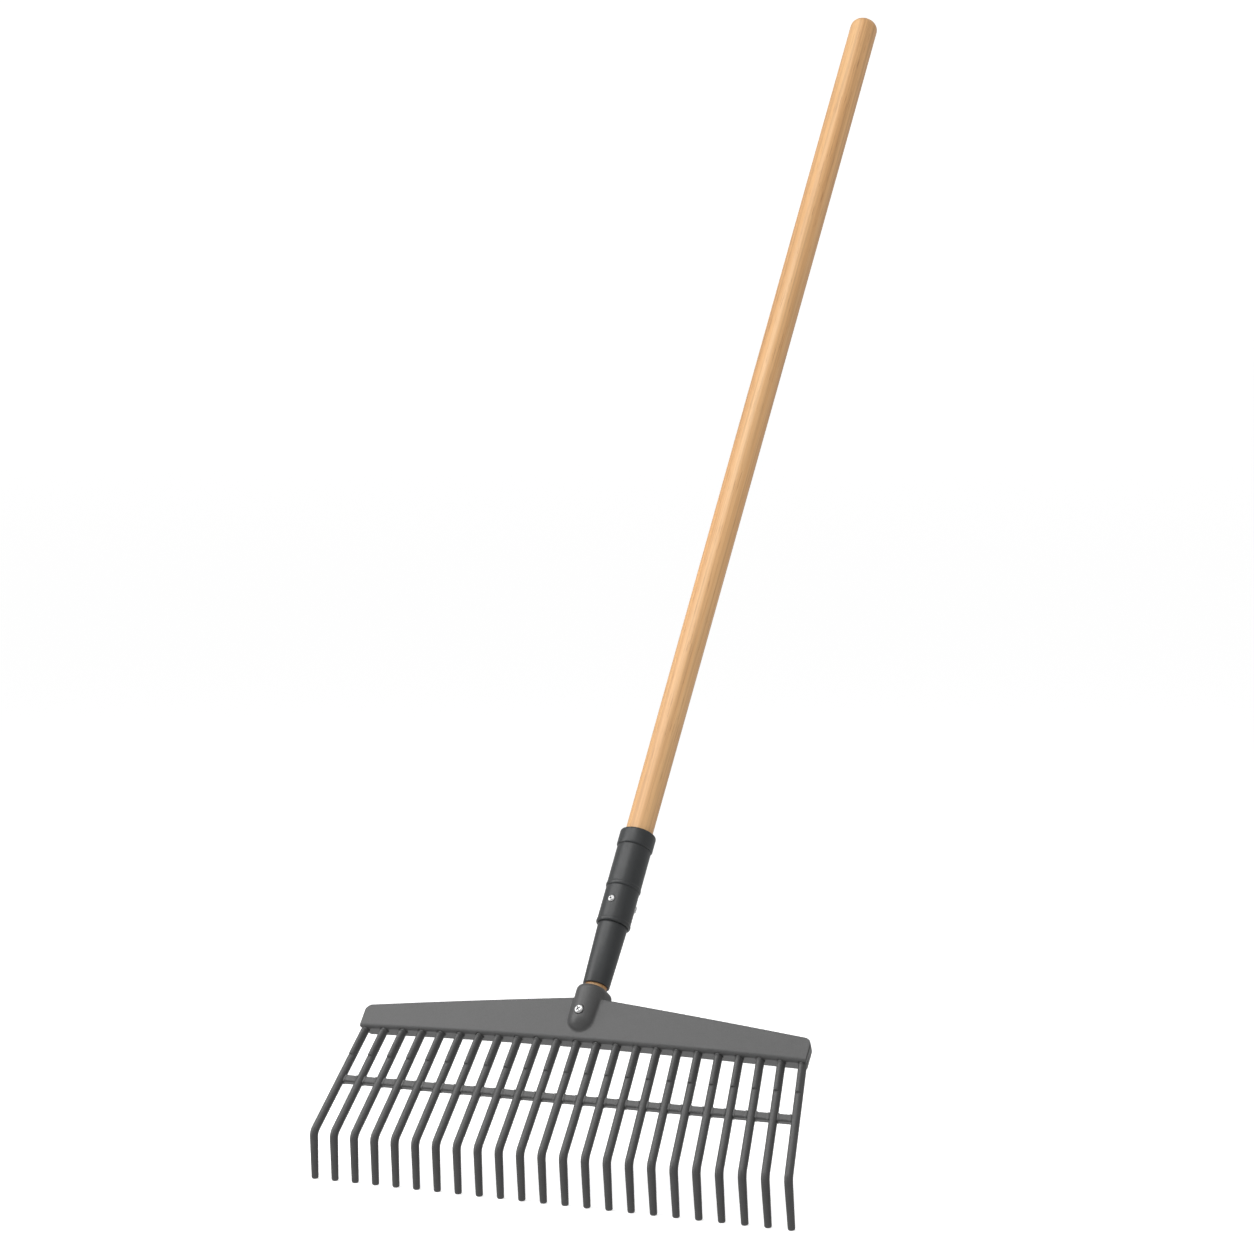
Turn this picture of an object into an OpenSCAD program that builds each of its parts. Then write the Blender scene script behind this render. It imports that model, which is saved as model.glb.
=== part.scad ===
// Hay rake with a moulded head, 23 bent tines and a long turned wooden handle.
// Origin: on the ground, at the middle of the line of tine tips.
// +X runs along the head, +Y away from the user's side, +Z up.

/* [Stance] */
// Lean of the head from the upright, top edge away from the tips, degrees
head_lean = 35; // [25:1:45]
// Tilt of the handle back towards the user, measured from the head, degrees
handle_tilt = 3.8; // [0:0.2:6]

/* [Tines] */
// Number of tines, odd so that one is in the middle
tine_count = 23; // [15:2:23]
// Distance between tine centres where they leave the beam
tine_pitch = 23; // [21:0.5:23.5]
// Diameter of a tine above its bend
tine_d = 8.6; // [7:0.2:9]
// Diameter of a tine at its tip
tine_tip_d = 7.4; // [6:0.2:8]
// Drop from the root of a tine to its bend, along the head
upper_drop = 121; // [100:1:140]
// Drop from the bend to the tip
lower_drop = 49; // [40:1:60]
// Angle of the bend, towards the back, degrees
bend_angle = 40; // [30:1:45]
// Centreline radius of the bend
bend_r = 14; // [10:1:20]
// Sideways run of the outermost tine for each millimetre of its drop
fan = 0.153; // [0:0.01:0.16]
// The same below the bend
lower_fan = 0.028; // [0:0.004:0.06]
// Length of the stiffening rib down the front of a tine
rib_drop = 32; // [20:1:40]

/* [Beam] */
// Width of the beam between its ends
beam_w = 518; // [514:1:530]
// Depth of the beam from front to back
beam_depth = 18; // [17:0.5:20]
// Distance from the tines' centre plane to the beam's front face
beam_front = 6.5; // [6:0.1:7.5]
// Height of the beam's top edge at the middle, above the tine roots
beam_mid_h = 52.2; // [46:0.2:56]
// Height of the beam's top edge at its ends
beam_end_h = 25.8; // [22:0.2:30]
// How much shorter the beam is at the back of each end than at the front
end_draft = 5.5; // [3:0.5:7]
// Radius of the two top corners
corner_r = 8; // [4:1:10]
// Thickness of the beam's walls
wall = 3.6; // [3:0.1:4]

/* [Boss] */
// Radius of the round boss that takes the handle
boss_r = 16.2; // [15.6:0.1:16.6]
// Height of the boss along the handle
boss_h = 65; // [60:1:66]
// How far the centre of the boss's round front stands before the handle's axis
boss_flat = 4; // [2:0.5:5]
// How far the centre of the boss's round back stands behind the handle's axis
boss_deep = 6; // [3:0.5:7]

/* [Comb bar] */
// Distance of the comb bar's middle below the tine roots
bar_drop = 58.3; // [50:1:70]
// Height of the comb bar
bar_h = 7.6; // [6:0.2:8]

/* [Handle] */
// Height of the handle's rounded end above the tine roots, along the handle
handle_l = 1328; // [1200:1:1500]
// Diameter of the grip end
grip_d = 32; // [31:0.5:34]
// Length of the grip's straight cylinder
grip_l = 160; // [120:5:200]
// Diameter of the handle where it leaves the collar
neck_d = 28.8; // [28:0.1:29.4]
// Diameter of the turned spigot that enters the boss
spigot_d = 22.4; // [22:0.1:22.6]

/* [Ferrule] */
// Height of the ferrule's lower end along the handle
ferrule_low = 68.6; // [67:0.2:70]
// Height of the step from the lower to the middle sleeve
step_1 = 136; // [132:1:140]
// Height of the step from the middle to the upper sleeve
step_2 = 177; // [174:1:180]
// Height of the step from the upper sleeve to the collar
step_3 = 224.4; // [221:1:226]
// Height of the collar's top
ferrule_top = 242.7; // [241:0.2:245]
// Diameter of the lower sleeve at its lower end
lower_d = 27.8; // [27.4:0.1:29]
// Diameter of the lower sleeve at the first step
lower_top_d = 31.2; // [30.8:0.1:31.6]
// Diameter of the middle sleeve
middle_d = 35.2; // [34.8:0.1:35.6]
// Diameter of the upper sleeve
upper_d = 36; // [35.8:0.1:36.4]
// Diameter of the collar
collar_d = 38.2; // [38:0.1:39]

/* [Screws] */
// Height of the boss screw along the handle
boss_screw_h = 34.5; // [32:0.5:38]
// Height of the three ferrule screws along the handle
ferrule_screw_h = 160; // [157:1:163]
// Head diameter of the boss screw
boss_screw_d = 9.6; // [8:0.2:10]
// Head diameter of a ferrule screw
ferrule_screw_d = 7.4; // [6:0.2:8]

/* [Hidden] */
$fn = 64;
middle_tine = (tine_count + 1) / 2;
root_half = tine_pitch * (tine_count - 1) / 2;
tine_r = tine_d / 2;

// Tines: the rounded tip, the tenon in the beam and the rib
tip_round = 2;
tip_flat_r = tine_tip_d / 2 - tip_round;
tenon_h = 17;
rib_r = 3.3;
rib_forward = 2.2;
// The bend is a hair thicker than the straight stretches and overlaps their ends
bend_swell = 0.06;
bend_lap = 3;

// Beam: the outline's shape between its middle and its ends
beam_back = beam_depth - beam_front;
beam_half = beam_w / 2;
low_mid = 3;
low_arch = 4;
top_bow = 0.7;
end_run = 250;
outline_steps = 12;
socket_wall = 2.1;
pocket_rib = 2.2;
rib_recess = 0.6;

// Comb bar: its front and back from the tines' centre plane, and how far it runs past the outermost tines
bar_front = -1.5;
bar_back = 6.5;
bar_end = 1.5;

// Handle: its axis stands behind the tines' plane, and its spigot ends above the middle tine
axis_back = 6;
spigot_low = 21;
spigot_chamfer = 1.5;
tenon_low_r = 11.6;
tenon_top_r = neck_d / 2 - 0.2;
tenon_top = 205;
dome_r = 11;
socket_gap = 0.05;

// Boss: the sphere that closes its lower end, and its rounded rim
boss_dome_h = 28;
boss_rim = 6;
boss_back_low = 13;

// Ferrule: how far each sleeve's neck enters the next, and the lips at the steps
neck_len = 18;
lip_h = 5;
lip_out = 0.45;
collar_round = 3;

// Screws: how deep their heads sit, their shanks, and where the ferrule screws stand around it, from the front
screw_seat = 0.8;
ferrule_turns = [0, 120, -120];
boss_shank_r = 2.4;
boss_shank_l = 18;
ferrule_shank_r = 1.8;
ferrule_shank_l = 11;
boss_head_h = 2.6;
ferrule_head_h = 2.2;
recess_r = 0.26;
recess_depth = 1.2;

head_color = [0.40, 0.40, 0.40];
ferrule_color = [0.20, 0.21, 0.22];
wood_color = [0.80, 0.60, 0.38];
screw_color = [0.82, 0.82, 0.80];

// The tips' lower direction is this far past the upright, and the heel of each tip is its lowest point
lower_lean = bend_angle - head_lean;
tip_sink = tip_flat_r * sin(lower_lean) + tip_round * (1 - cos(lower_lean));
head_z = upper_drop * cos(head_lean) + lower_drop * cos(lower_lean) + tip_sink;
head_y = upper_drop * sin(head_lean) - lower_drop * sin(lower_lean);

function two_digits(i) = i < 10 ? str("0", i) : str(i);
function tine_name(i) = str("tine_", two_digits(i));
function unit(v) = v / norm(v);

// -1 at the leftmost tine, 0 in the middle, 1 at the rightmost
function across(i) = (i - middle_tine) / (middle_tine - 1);
function root_x(i) = across(i) * root_half;

// The head's own frame: origin at the root of the middle tine, Z up along the head
module head_frame() {
    translate([0, head_y, head_z]) rotate([-head_lean, 0, 0]) children();
}

// The handle's frame: Z along the handle's axis
module handle_frame() {
    head_frame() translate([0, axis_back, 0]) rotate([handle_tilt, 0, 0]) children();
}

// ---- Tines ----

// Children are drawn with Z up along a direction, Y staying in the plane of that direction and side
module aligned(up, forward) {
    z = unit(up);
    x = unit(forward - (forward * z) * z);
    y = cross(z, x);
    multmatrix([
        [x[0], y[0], z[0], 0],
        [x[1], y[1], z[1], 0],
        [x[2], y[2], z[2], 0],
        [0, 0, 0, 1]
    ])
        children();
}

// Direction of tine i from its root down to its bend
function upper_dir(i) = [fan * across(i), 0, -1];
// Direction of tine i from its bend to its tip
function lower_dir(i) = [lower_fan * across(i), sin(bend_angle), -cos(bend_angle)];

// A round bar with a rounded flat tip, from the origin up along Z
module tapered_rod(len) {
    tip_r = tine_tip_d / 2;
    arc = [for (a = [0:22.5:90]) [tip_flat_r + tip_round * cos(a), len - tip_round + tip_round * sin(a)]];
    rotate_extrude() polygon(concat([[0, 0], [tine_r, 0]], arc, [[0, len]]));
}

// The straight upper part of a tine, with its tenon in the beam and the rib down its front
module upper_rod(i, tangent) {
    slant = norm(upper_dir(i));
    aligned(-upper_dir(i), [1, 0, 0]) {
        translate([0, 0, tangent - upper_drop * slant])
            cylinder(r = tine_r, h = upper_drop * slant - tangent + tenon_h);
        translate([0, -rib_forward, -rib_drop * slant])
            cylinder(r = rib_r, h = rib_drop * slant + low_edge(root_x(i)) - 0.1);
    }
}

module tine(i) {
    low_len = lower_drop * norm(lower_dir(i));
    turn = acos(unit(upper_dir(i)) * unit(lower_dir(i)));
    tangent = bend_r * tan(turn / 2);
    color(head_color) head_frame() translate([root_x(i), 0, 0]) {
        upper_rod(i, tangent);
        translate(upper_drop * upper_dir(i)) aligned(-upper_dir(i), lower_dir(i)) {
            translate([bend_r, 0, tangent]) rotate([90, 0, 0]) rotate([0, 0, 180 - bend_lap])
                rotate_extrude(angle = turn + 2 * bend_lap) translate([bend_r, 0]) circle(r = tine_r + bend_swell);
            rotate([0, 180 - turn, 0]) translate([0, 0, tangent]) tapered_rod(low_len - tangent);
        }
    }
}

// The space that tine i takes up in the beam and the comb bar
module tine_bore(i, gap) {
    head_frame() translate([root_x(i), 0, 0]) aligned(-upper_dir(i), [1, 0, 0])
        translate([0, 0, -upper_drop + bend_r]) cylinder(r = tine_r + gap, h = upper_drop - bend_r + tenon_h);
}

// ---- Beam ----

// Height of the beam's lower and upper edges at x, above the tine roots
function low_edge(x) = low_mid - low_arch * pow(x / beam_half, 2);
function top_edge(x) =
    beam_mid_h - (beam_mid_h - beam_end_h) * abs(x) / end_run
    + top_bow * (1 - pow(2 * abs(x) / end_run - 1, 2));

// The beam's front outline, drawn in by inset all round
module beam_outline(inset) {
    half = beam_half - inset;
    r = max(corner_r - inset, 1);
    corner_x = half - r;
    corner_z = top_edge(corner_x) - inset - r;
    low = [for (j = [0:outline_steps]) let (x = half * (2 * j / outline_steps - 1)) [x, low_edge(x) + inset]];
    right = [for (a = [0:15:90]) [corner_x + r * cos(a), corner_z + r * sin(a)]];
    top = [for (j = [1:outline_steps - 1]) let (x = corner_x * (1 - 2 * j / outline_steps)) [x, top_edge(x) - inset]];
    left = [for (a = [90:15:180]) [-corner_x + r * cos(a), corner_z + r * sin(a)]];
    polygon(concat(low, right, top, left));
}

// The beam's plan, with its ends drawn in towards the back
module beam_plan(inset) {
    front_x = beam_half - inset;
    back_x = front_x - end_draft;
    front_y = -beam_front - 1;
    back_y = beam_back + 1;
    polygon([[-front_x, front_y], [front_x, front_y], [back_x, back_y], [-back_x, back_y]]);
}

// The beam's outline as a block from y_front to y_back, in the head's frame
module beam_block(inset, y_front, y_back) {
    head_frame() intersection() {
        translate([0, y_back, 0]) rotate([90, 0, 0]) linear_extrude(y_back - y_front) beam_outline(inset);
        translate([0, 0, -low_arch - 1]) linear_extrude(beam_mid_h + low_arch + 2) beam_plan(inset);
    }
}

// Upright ribs and tine sockets inside the open back
module beam_ribs() {
    for (i = [1:tine_count]) {
        head_frame() translate([root_x(i) - pocket_rib / 2, -beam_front + wall / 2, 0])
            cube([pocket_rib, beam_depth - wall / 2 - rib_recess, beam_mid_h]);
        head_frame() translate([root_x(i), 0, 0]) aligned(-upper_dir(i), [1, 0, 0])
            cylinder(r = tine_r + socket_wall, h = tenon_h + socket_wall);
    }
}

// Half of the boss's outline, from its axis to its side, with a rounded rim
module boss_side(low) {
    square_h = boss_h - low;
    translate([0, low]) square([boss_r, square_h - boss_rim]);
    translate([0, low]) square([boss_r - boss_rim, square_h]);
    translate([boss_r - boss_rim, boss_h - boss_rim]) circle(r = boss_rim);
}

module boss_round(low) {
    rotate_extrude() boss_side(low);
}

// The boss's flat-sided stretch from y_front to y_back
module boss_flats(y_front, y_back, low) {
    translate([0, y_back, 0]) rotate([90, 0, 0]) linear_extrude(y_back - y_front) {
        boss_side(low);
        mirror([1, 0]) boss_side(low);
    }
}

// The boss that takes the handle: a round front with a domed lower end, flat sides and a round back
module boss() {
    handle_frame() {
        translate([0, -boss_flat, 0]) boss_round(boss_dome_h);
        translate([0, -boss_flat, boss_dome_h]) sphere(r = boss_r);
        translate([0, boss_deep, 0]) boss_round(boss_back_low);
        boss_flats(-boss_flat, boss_deep, boss_dome_h);
        boss_flats(0, boss_deep, boss_back_low);
    }
}

module head_beam() {
    color(head_color) difference() {
        union() {
            difference() {
                beam_block(0, -beam_front, beam_back);
                beam_block(wall, -beam_front + wall, beam_back + 1);
            }
            intersection() {
                beam_block(wall / 2, -beam_front + wall / 2, beam_back - rib_recess);
                beam_ribs();
            }
            boss();
        }
        for (i = [1:tine_count]) tine_bore(i, 0);
        handle_frame() translate([0, 0, spigot_low]) cylinder(r = spigot_d / 2 + socket_gap, h = boss_h);
        handle_frame() translate([0, 0, boss_screw_h]) rotate([90, 0, 0]) {
            cylinder(r = boss_shank_r, h = 2 * boss_r);
            translate([0, 0, boss_r + boss_flat - screw_seat]) cylinder(r = boss_screw_d / 2 + 0.3, h = 5);
        }
    }
}

// The comb bar, with an open seat for each tine
module cross_bar() {
    bar_half = root_half + fan * bar_drop + bar_end;
    color(head_color) difference() {
        head_frame() translate([-bar_half, bar_front, -bar_drop - bar_h / 2])
            cube([2 * bar_half, bar_back - bar_front, bar_h]);
        for (i = [1:tine_count]) tine_bore(i, 0);
    }
}

// ---- Handle and ferrule ----

// The wood's radius inside the ferrule
function tenon_r(h) = tenon_low_r + (tenon_top_r - tenon_low_r) * (h - ferrule_low) / (tenon_top - ferrule_low);
// The wood's radius where it fills the ferrule up to the collar's top
function wood_r(h) =
    h < tenon_top
        ? tenon_r(h)
        : tenon_top_r + (neck_d / 2 - tenon_top_r) * (h - tenon_top) / (ferrule_top - tenon_top);

module handle() {
    grip_r = grip_d / 2;
    dome = [for (a = [0:15:90]) [grip_r - dome_r + dome_r * cos(a), handle_l - dome_r + dome_r * sin(a)]];
    color(wood_color) difference() {
        handle_frame() rotate_extrude() polygon(concat(
            [[0, spigot_low], [spigot_d / 2 - spigot_chamfer, spigot_low]],
            [[spigot_d / 2, spigot_low + spigot_chamfer], [spigot_d / 2, ferrule_low]],
            [[tenon_low_r, ferrule_low], [tenon_top_r, tenon_top], [neck_d / 2, ferrule_top]],
            [[grip_r, handle_l - dome_r - grip_l]],
            dome,
            [[0, handle_l]]
        ));
        boss_screw_hole();
        ferrule_screw_holes();
    }
}

// A sleeve turned from its outline: outer radii, a neck that enters the next sleeve, and the bore below it
module sleeve(points) {
    color(ferrule_color) difference() {
        handle_frame() rotate_extrude() polygon(points);
        ferrule_screw_holes();
    }
}

neck_1_r = lower_top_d / 2 - 0.3;
neck_2_r = middle_d / 2 - 1.4;
neck_3_r = upper_d / 2 - 1.4;
neck_3_len = ferrule_top - step_3 - 4;

module ferrule_lower() {
    top = step_1 + neck_len;
    sleeve([
        [wood_r(ferrule_low), ferrule_low], [lower_d / 2 - 0.5, ferrule_low], [lower_d / 2, ferrule_low + 0.5],
        [lower_top_d / 2, step_1], [neck_1_r, step_1], [neck_1_r, top], [wood_r(top), top]
    ]);
}

module ferrule_middle() {
    r = middle_d / 2;
    low_top = step_1 + neck_len;
    top = step_2 + neck_len;
    sleeve([
        [neck_1_r, step_1], [r + lip_out - 0.8, step_1], [r + lip_out, step_1 + 0.8],
        [r + lip_out, step_1 + lip_h - 1.5], [r, step_1 + lip_h], [r, step_2], [neck_2_r, step_2],
        [neck_2_r, top], [wood_r(top), top], [wood_r(low_top), low_top], [neck_1_r, low_top]
    ]);
}

module ferrule_upper() {
    r = upper_d / 2;
    low_top = step_2 + neck_len;
    top = step_3 + neck_3_len;
    sleeve([
        [neck_2_r, step_2], [r + lip_out - 0.8, step_2], [r + lip_out, step_2 + 0.8],
        [r + lip_out, step_2 + lip_h - 1.5], [r, step_2 + lip_h], [r, step_3], [neck_3_r, step_3],
        [neck_3_r, top], [wood_r(top), top], [wood_r(tenon_top), tenon_top], [wood_r(low_top), low_top],
        [neck_2_r, low_top]
    ]);
}

module collar_ring() {
    r = collar_d / 2;
    low_top = step_3 + neck_3_len;
    rim = [for (a = [0:30:90]) [r - collar_round + collar_round * cos(a), ferrule_top - collar_round + collar_round * sin(a)]];
    sleeve(concat(
        [[neck_3_r, step_3], [r - 0.8, step_3], [r, step_3 + 0.8]],
        rim,
        [[wood_r(ferrule_top), ferrule_top], [wood_r(low_top), low_top], [neck_3_r, low_top]]
    ));
}

// ---- Screws ----

// A pan-head screw along Z: the underside of its head at the origin, its shank below
module pan_screw(head_d, head_h, shank_r, shank_l) {
    edge = head_h * 0.4;
    crown = head_h - edge;
    top = [for (a = [0:15:90]) [head_d / 2 * (0.45 + 0.55 * cos(a)), edge + crown * sin(a)]];
    difference() {
        union() {
            rotate_extrude() polygon(concat([[0, 0], [head_d / 2, 0]], top, [[0, head_h]]));
            translate([0, 0, -shank_l]) cylinder(r = shank_r, h = shank_l);
        }
        for (turn = [45, 135]) rotate([0, 0, turn])
            translate([-head_d * recess_r, -head_d * 0.07, head_h - recess_depth])
                cube([2 * head_d * recess_r, head_d * 0.14, recess_depth + 1]);
    }
}

// Children are placed on the handle's side: height along it, radius, and angle from the front
module on_side(h, r, angle) {
    handle_frame() translate([0, 0, h]) rotate([0, 0, angle]) translate([0, -r, 0]) rotate([90, 0, 0]) children();
}

module boss_screw_hole() {
    on_side(boss_screw_h, 0, 0) translate([0, 0, boss_r + boss_flat - screw_seat - boss_shank_l])
        cylinder(r = boss_shank_r, h = boss_shank_l);
}

module ferrule_screw_holes() {
    for (angle = ferrule_turns) on_side(ferrule_screw_h, middle_d / 2 - screw_seat - ferrule_shank_l, angle) {
        cylinder(r = ferrule_shank_r, h = ferrule_shank_l);
        translate([0, 0, ferrule_shank_l]) cylinder(r = ferrule_screw_d / 2 + 0.2, h = 3);
    }
}

module boss_screw() {
    color(screw_color) on_side(boss_screw_h, boss_r + boss_flat - screw_seat, 0)
        pan_screw(boss_screw_d, boss_head_h, boss_shank_r, boss_shank_l);
}

module ferrule_screws() {
    for (angle = ferrule_turns)
        color(screw_color) on_side(ferrule_screw_h, middle_d / 2 - screw_seat, angle)
            pan_screw(ferrule_screw_d, ferrule_head_h, ferrule_shank_r, ferrule_shank_l);
}

handle();
collar_ring();
ferrule_upper();
ferrule_middle();
ferrule_lower();
ferrule_screws();
head_beam();
boss_screw();
cross_bar();
for (i = [1:tine_count]) tine(i);
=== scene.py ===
import math

import bmesh
import bpy
import numpy as np
from mathutils import Matrix, Vector


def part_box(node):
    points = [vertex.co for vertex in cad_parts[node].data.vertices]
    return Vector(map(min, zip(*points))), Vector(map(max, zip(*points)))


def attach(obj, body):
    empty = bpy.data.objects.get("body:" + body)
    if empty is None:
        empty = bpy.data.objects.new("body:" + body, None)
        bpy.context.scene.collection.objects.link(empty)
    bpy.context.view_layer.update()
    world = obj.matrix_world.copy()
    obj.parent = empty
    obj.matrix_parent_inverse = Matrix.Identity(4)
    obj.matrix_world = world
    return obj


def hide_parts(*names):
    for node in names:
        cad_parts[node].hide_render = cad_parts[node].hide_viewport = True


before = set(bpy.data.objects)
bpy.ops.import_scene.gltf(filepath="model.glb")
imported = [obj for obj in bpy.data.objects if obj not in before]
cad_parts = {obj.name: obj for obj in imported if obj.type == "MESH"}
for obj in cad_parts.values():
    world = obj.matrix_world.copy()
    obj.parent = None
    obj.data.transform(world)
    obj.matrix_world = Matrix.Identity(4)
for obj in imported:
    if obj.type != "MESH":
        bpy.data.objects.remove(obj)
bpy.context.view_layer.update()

# ---------------------------------------------------------------- sizes, in millimetres

MM = 0.001
LEAN = math.radians(35)        # the head leans back from the upright
TILT = math.radians(3.8)       # the handle tilts back from the head
TINES = 23
PITCH = 23.0                   # between tine centres, at their roots
TINE_R = 4.3
TIP_R = 3.7
TIP_ROUND = 2.0
UPPER_DROP = 121.0             # root to bend, along the head
LOWER_DROP = 49.0              # bend to tip
BEND = math.radians(40)
BEND_R = 14.0
FAN = 0.153                    # sideways run of the outermost tine for each millimetre of drop
LOWER_FAN = 0.028
TENON = 17.0
RIB_DROP = 32.0
RIB_R = 3.3
RIB_FORWARD = 2.2

BEAM_FRONT = 6.5
BEAM_BACK = 11.5
BEAM_HALF = 259.0
BEAM_MID_H = 52.2              # top edge above the tine roots, in the middle
BEAM_FALL = 26.4               # how far the top edge falls over END_RUN
END_RUN = 250.0
TOP_BOW = 0.7
LOW_MID = 3.0                  # lower edge above the tine roots, in the middle
LOW_ARCH = 4.0
END_DRAFT = 5.5
CORNER_R = 8.0
WALL = 3.6
SOCKET_WALL = 2.1
POCKET_RIB_HALF = 1.1
POCKET_RIB_DRAFT = 0.012
POCKET_RIB_RECESS = 0.7

BOSS_R = 16.2
BOSS_H = 65.0
BOSS_FLAT = 4.0
BOSS_DEEP = 6.0
BOSS_DOME_H = 28.0
BOSS_LOW = 13.0
BOSS_RIM = 6.0
AXIS_BACK = 6.0                # the handle's axis stands this far behind the tines' plane

BAR_DROP = 58.3
BAR_H = 7.6
BAR_FRONT = -1.5
BAR_BACK = 6.5
BAR_END = 1.5                  # how far the bar runs past the outermost tines' centres

HANDLE_L = 1328.0
DOME_R = 11.0
GRIP_R = 16.0
GRIP_L = 160.0
NECK_R = 14.4
TENON_LOW_R = 11.6
TENON_TOP_R = NECK_R - 0.2
TENON_TOP = 205.0
SPIGOT_R = 11.2
SPIGOT_LOW = 21.0
SPIGOT_CHAMFER = 1.5

FERRULE_LOW = 68.6
STEP_1 = 136.0
STEP_2 = 177.0
STEP_3 = 224.4
FERRULE_TOP = 242.7
LOWER_R = 13.9
LOWER_TOP_R = 15.6
MIDDLE_R = 17.6
UPPER_R = 18.0
COLLAR_R = 19.1
NECK_LEN = 18.0                # how far each sleeve's neck enters the next
LIP_GAP = 0.35                 # the shadow gap under each sleeve's lip

SCREW_SEAT = 0.8               # how deep the screw heads sit
SEAT_R = 5.1                   # the boss screw's seat
BOSS_SCREW_H = 34.5
BOSS_SCREW = (9.6, 2.6, 2.4, 18.0)      # head diameter, head height, shank radius, shank length
FERRULE_SCREW_H = 160.0
FERRULE_SCREW = (7.4, 2.2, 1.8, 11.0)
FERRULE_TURNS = (0, 120, -120)  # where the ferrule screws stand around it, from the front
FERRULE_SEAT_R = 3.9
FERRULE_HOLE_R = 1.85

ROOT_HALF = PITCH * (TINES - 1) / 2

# ---------------------------------------------------------------- the view and its light, in metres and degrees

CAMERA_AT = (1.6028, -2.7282, 0.6175)
CAMERA_YAW = 28.937            # from straight at the front, turned to the left
CAMERA_PITCH = 0.85            # downwards
LENS = 92
SENSOR = 36

AMBIENT = 0.56                 # the surround's strength, and below, where a white floor sends light back up
FLOOR_BOUNCE = 1.0
SWEEP_R = 60.0
SWEEP_BEND = 8.0
SWEEP_GLOW = 0.545
LIT_CENTRE = (0, 0.25, 0.35)   # what the soft boxes point at


# ---------------------------------------------------------------- frames

def rotation_x(angle):
    return Matrix.Rotation(angle, 4, "X")


def head_matrix():
    """The head's frame in the row frame, in metres: origin at the middle tine's root, Z up along the head.
    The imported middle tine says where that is: its tip stands on the ground and its tenon ends at its top."""
    low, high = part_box("tine_12")
    top = TENON * math.cos(LEAN) + TINE_R * math.sin(LEAN)
    past = BEND - LEAN
    z = high.z - top * MM
    y = (UPPER_DROP * math.sin(LEAN) - LOWER_DROP * math.sin(past)) * MM
    return Matrix.Translation((0, y, z)) @ rotation_x(-LEAN)


def handle_matrix(head):
    """The handle's frame in the row frame: Z along its axis, origin level with the tine roots."""
    return head @ Matrix.Translation((0, AXIS_BACK * MM, 0)) @ rotation_x(TILT)


HEAD = head_matrix()
HANDLE = handle_matrix(HEAD)


# ---------------------------------------------------------------- mesh helpers

def new_object(name, points, faces, matrix):
    """A mesh object from points in millimetres, placed by matrix."""
    mesh = bpy.data.meshes.new(name)
    mesh.from_pydata((np.asarray(points, float) * MM).tolist(), [], faces)
    mesh.validate()
    mesh.update()
    mesh.shade_smooth()
    obj = bpy.data.objects.new(name, mesh)
    bpy.context.scene.collection.objects.link(obj)
    obj.matrix_world = matrix
    return obj


def bake_place(obj):
    """Moves a piece's placement into its mesh, so that its box is a tight one."""
    obj.data.transform(obj.matrix_world)
    obj.matrix_world = Matrix()


def finish_piece(obj, node, material):
    """Gives a piece its material, hangs it under the root body and hides the CAD node that it stands for."""
    obj.data.materials.clear()
    obj.data.materials.append(material)
    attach(obj, "root")
    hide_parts(node)
    return obj


def fix_normals(obj):
    mesh = bmesh.new()
    mesh.from_mesh(obj.data)
    bmesh.ops.recalc_face_normals(mesh, faces=mesh.faces[:])
    mesh.to_mesh(obj.data)
    mesh.free()


def sharp_by_angle(obj, degrees):
    obj.data.shade_smooth()
    obj.data.set_sharp_from_angle(angle=math.radians(degrees))


def rounded(points, steps=4):
    """A closed outline of (r, h) with its corners rounded: each given point is (r, h, radius)."""
    out = []
    count = len(points)
    for i, (r, h, radius) in enumerate(points):
        here = Vector((r, h))
        if radius <= 0:
            out.append(here)
            continue
        before = Vector(points[i - 1][:2]) - here
        after = Vector(points[(i + 1) % count][:2]) - here
        a, b = before.normalized(), after.normalized()
        half = math.acos(max(-1, min(1, a.dot(b)))) / 2
        reach = min(radius / math.tan(half), before.length * 0.49, after.length * 0.49)
        middle = here + (a + b).normalized() * (reach / math.cos(half))
        start, end = here + a * reach - middle, here + b * reach - middle
        turn = start.angle_signed(end)
        for j in range(steps + 1):
            step = -turn * j / steps
            c, s = math.cos(step), math.sin(step)
            out.append(middle + Vector((start.x * c - start.y * s, start.x * s + start.y * c)))
    return [(p.x, p.y) for p in out]


def lathe(name, outline, matrix, segments=96):
    """A solid of revolution about Z, from a closed outline of (radius, height)."""
    points, rings = [], []
    for r, h in outline:
        if r < 1e-6:
            rings.append([len(points)] * segments)
            points.append((0, 0, h))
            continue
        rings.append(list(range(len(points), len(points) + segments)))
        for k in range(segments):
            a = 2 * math.pi * k / segments
            points.append((r * math.cos(a), r * math.sin(a), h))
    faces = []
    count = len(outline)
    for i in range(count):
        low, high = rings[i], rings[(i + 1) % count]
        for k in range(segments):
            n = (k + 1) % segments
            corner = [low[k], low[n], high[n], high[k]]
            face = list(dict.fromkeys(corner))
            if len(face) > 2:
                faces.append(face)
    obj = new_object(name, points, faces, matrix)
    fix_normals(obj)
    return obj


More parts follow.
